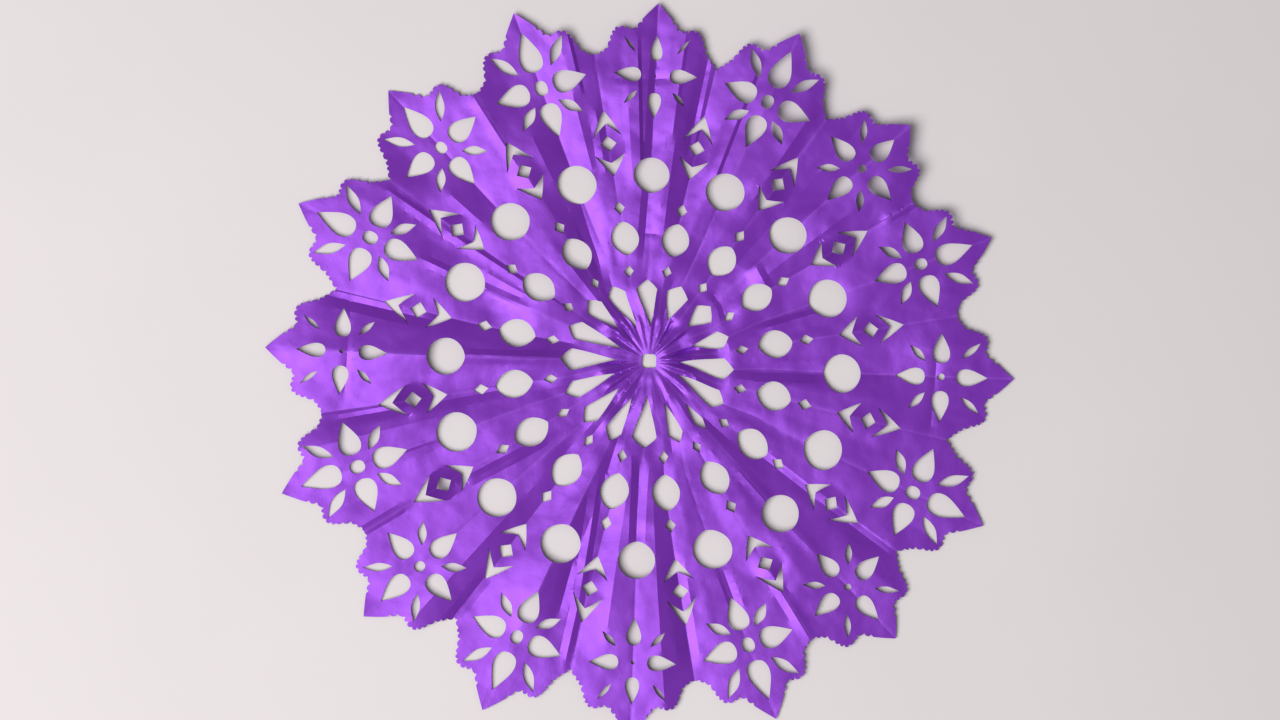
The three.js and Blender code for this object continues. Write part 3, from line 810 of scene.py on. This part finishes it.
# The colour goes cloudily from deep to plain, and is rubbed paler along the folds. The larger the
# scale of a noise, the finer it is.
glaze = {
    "colour": (0.225, 0.034, 0.5), "deepColour": (0.185, 0.022, 0.44), "wornColour": (0.27, 0.07, 0.56),
    "roughness": 0.37, "cloudyRoughness": 0.1, "scuffedRoughness": 0.15,
    "metallic": 0.4, "specular": 0.5,
    "cloudScale": 22.0, "detail": 3.0,
    "fibreScale": 900.0, "fibreDetail": 2.0, "fibreStretch": (1, 0.35, 1), "fibreShare": 0.3,
    "scuffScale": 160.0, "scuffShare": 0.7,
    "scuffWidth": 1.2,  # mm from a fold line
    "wrinkleScale": 130.0, "wrinkleHeight": 0.7, "fibreHeight": 0.12,
    "bumpStrength": 0.35, "bumpDistance": 0.5 * mm,
}


def glazedPaper():
    material = bpy.data.materials.new("glazedPaper")
    material.use_nodes = True
    nodes = NodeTree(material.node_tree)
    place = nodes.output("ShaderNodeTexCoord", None, None, "Object")

    def noise(scale, detail, stretch=None):
        vector = place
        if stretch:
            vector = nodes.output("ShaderNodeMapping", None, {"Vector": place, "Scale": stretch})
        return nodes.number("ShaderNodeTexNoise", None, {"Vector": vector, "Scale": scale, "Detail": detail})

    cloudy = noise(glaze["cloudScale"], glaze["detail"])
    fibres = noise(glaze["fibreScale"], glaze["fibreDetail"], glaze["fibreStretch"])
    fromFold = nodes.number("ShaderNodeAttribute", {"attribute_name": "fromFold"}, None, "Fac")
    worn = nodes.number("ShaderNodeMapRange", None, {
        "Value": fromFold, "From Min": 0.0, "From Max": glaze["scuffWidth"], "To Min": 1.0, "To Max": 0.0})
    scuffs = worn * noise(glaze["scuffScale"], glaze["detail"])
    mixed = nodes.output("ShaderNodeMix", {"data_type": "RGBA"}, {
        "Factor": cloudy + (fibres - 0.5) * glaze["fibreShare"],
        "A": (*glaze["deepColour"], 1), "B": (*glaze["colour"], 1)})
    coloured = nodes.output("ShaderNodeMix", {"data_type": "RGBA"}, {
        "Factor": scuffs * glaze["scuffShare"], "A": mixed, "B": (*glaze["wornColour"], 1)})
    wrinkles = noise(glaze["wrinkleScale"], glaze["detail"]) * glaze["wrinkleHeight"]
    wrinkles = wrinkles + fibres * glaze["fibreHeight"]
    bump = nodes.output("ShaderNodeBump", None, {
        "Strength": glaze["bumpStrength"], "Distance": glaze["bumpDistance"], "Height": wrinkles})
    # the cloudy part is centred on the plain roughness
    roughness = cloudy * glaze["cloudyRoughness"] + scuffs * glaze["scuffedRoughness"] + (
        glaze["roughness"] - glaze["cloudyRoughness"] / 2)
    shader = nodes.output("ShaderNodeBsdfPrincipled", None, {
        "Base Color": coloured, "Roughness": roughness, "Normal": bump,
        "Metallic": glaze["metallic"], "Specular IOR Level": glaze["specular"]})
    nodes.add("ShaderNodeOutputMaterial", None, {"Surface": shader})
    return material


cloth = {
    "colours": ((0.688, 0.639, 0.644), (0.74, 0.685, 0.691)),
    "cloudScale": 5.0, "detail": 3.0,
    "roughness": 0.9, "specular": 0.2,
}


def paleCloth():
    material = bpy.data.materials.new("paleCloth")
    material.use_nodes = True
    nodes = NodeTree(material.node_tree)
    place = nodes.output("ShaderNodeTexCoord", None, None, "Object")
    cloudy = nodes.output("ShaderNodeTexNoise", None, {
        "Vector": place, "Scale": cloth["cloudScale"], "Detail": cloth["detail"]})
    darker, paler = cloth["colours"]
    colour = nodes.output("ShaderNodeMix", {"data_type": "RGBA"}, {
        "Factor": cloudy, "A": (*darker, 1), "B": (*paler, 1)})
    shader = nodes.output("ShaderNodeBsdfPrincipled", None, {
        "Base Color": colour, "Roughness": cloth["roughness"], "Specular IOR Level": cloth["specular"]})
    nodes.add("ShaderNodeOutputMaterial", None, {"Surface": shader})
    return material


# Lengths are in metres here, the light's power in watts and its elevation in degrees
studio = {
    "floorSize": 6.0,
    "lightFrom": (-0.87, -0.47), "lightElevation": 58.5, "lightDistance": 3.2, "lightSize": 2.6,
    "lightPower": 112.0, "fill": 0.24,
    "cameraHeight": 4.0, "cameraPlace": (-1.7 * mm, 4.7 * mm), "viewWidth": 855.5 * mm,
}


def makeFloor():
    half = studio["floorSize"] / 2
    corners = [(-half, -half, 0), (half, -half, 0), (half, half, 0), (-half, half, 0)]
    mesh = bpy.data.meshes.new("floor")
    mesh.from_pydata(corners, [], [(0, 1, 2, 3)])
    mesh.materials.append(paleCloth())
    floor = bpy.data.objects.new("floor", mesh)
    scene.collection.objects.link(floor)


def makeLight():
    data = bpy.data.lights.new("window", "AREA")
    data.shape = "DISK"
    data.size = studio["lightSize"]
    data.energy = studio["lightPower"]
    light = bpy.data.objects.new("window", data)
    elevation = math.radians(studio["lightElevation"])
    towards = Vector(studio["lightFrom"]).normalized() * math.cos(elevation)
    direction = Vector((*towards, math.sin(elevation)))
    light.location = sheetMiddle + direction * studio["lightDistance"]
    light.rotation_euler = direction.to_track_quat("Z", "Y").to_euler()
    scene.collection.objects.link(light)
    world = bpy.data.worlds.new("room")
    world.use_nodes = True
    nodes = NodeTree(world.node_tree)
    sky = nodes.output("ShaderNodeBackground", None, {"Color": (1, 1, 1, 1), "Strength": studio["fill"]})
    nodes.add("ShaderNodeOutputWorld", None, {"Surface": sky})
    scene.world = world


def makeCamera(centre):
    data = bpy.data.cameras.new("camera")
    data.lens = data.sensor_width * studio["cameraHeight"] / studio["viewWidth"]
    camera = bpy.data.objects.new("camera", data)
    camera.location = centre + Vector((*studio["cameraPlace"], studio["cameraHeight"]))
    scene.collection.objects.link(camera)
    scene.camera = camera


makeFloor()
makeLight()
print("floor and light placed")
flatPaper, patternMiddle = paperMesh()
rosette = finishedSheet(flatPaper, glazedPaper())
makeCamera(patternMiddle)

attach(rosette, "root")
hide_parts("paper_rosette")
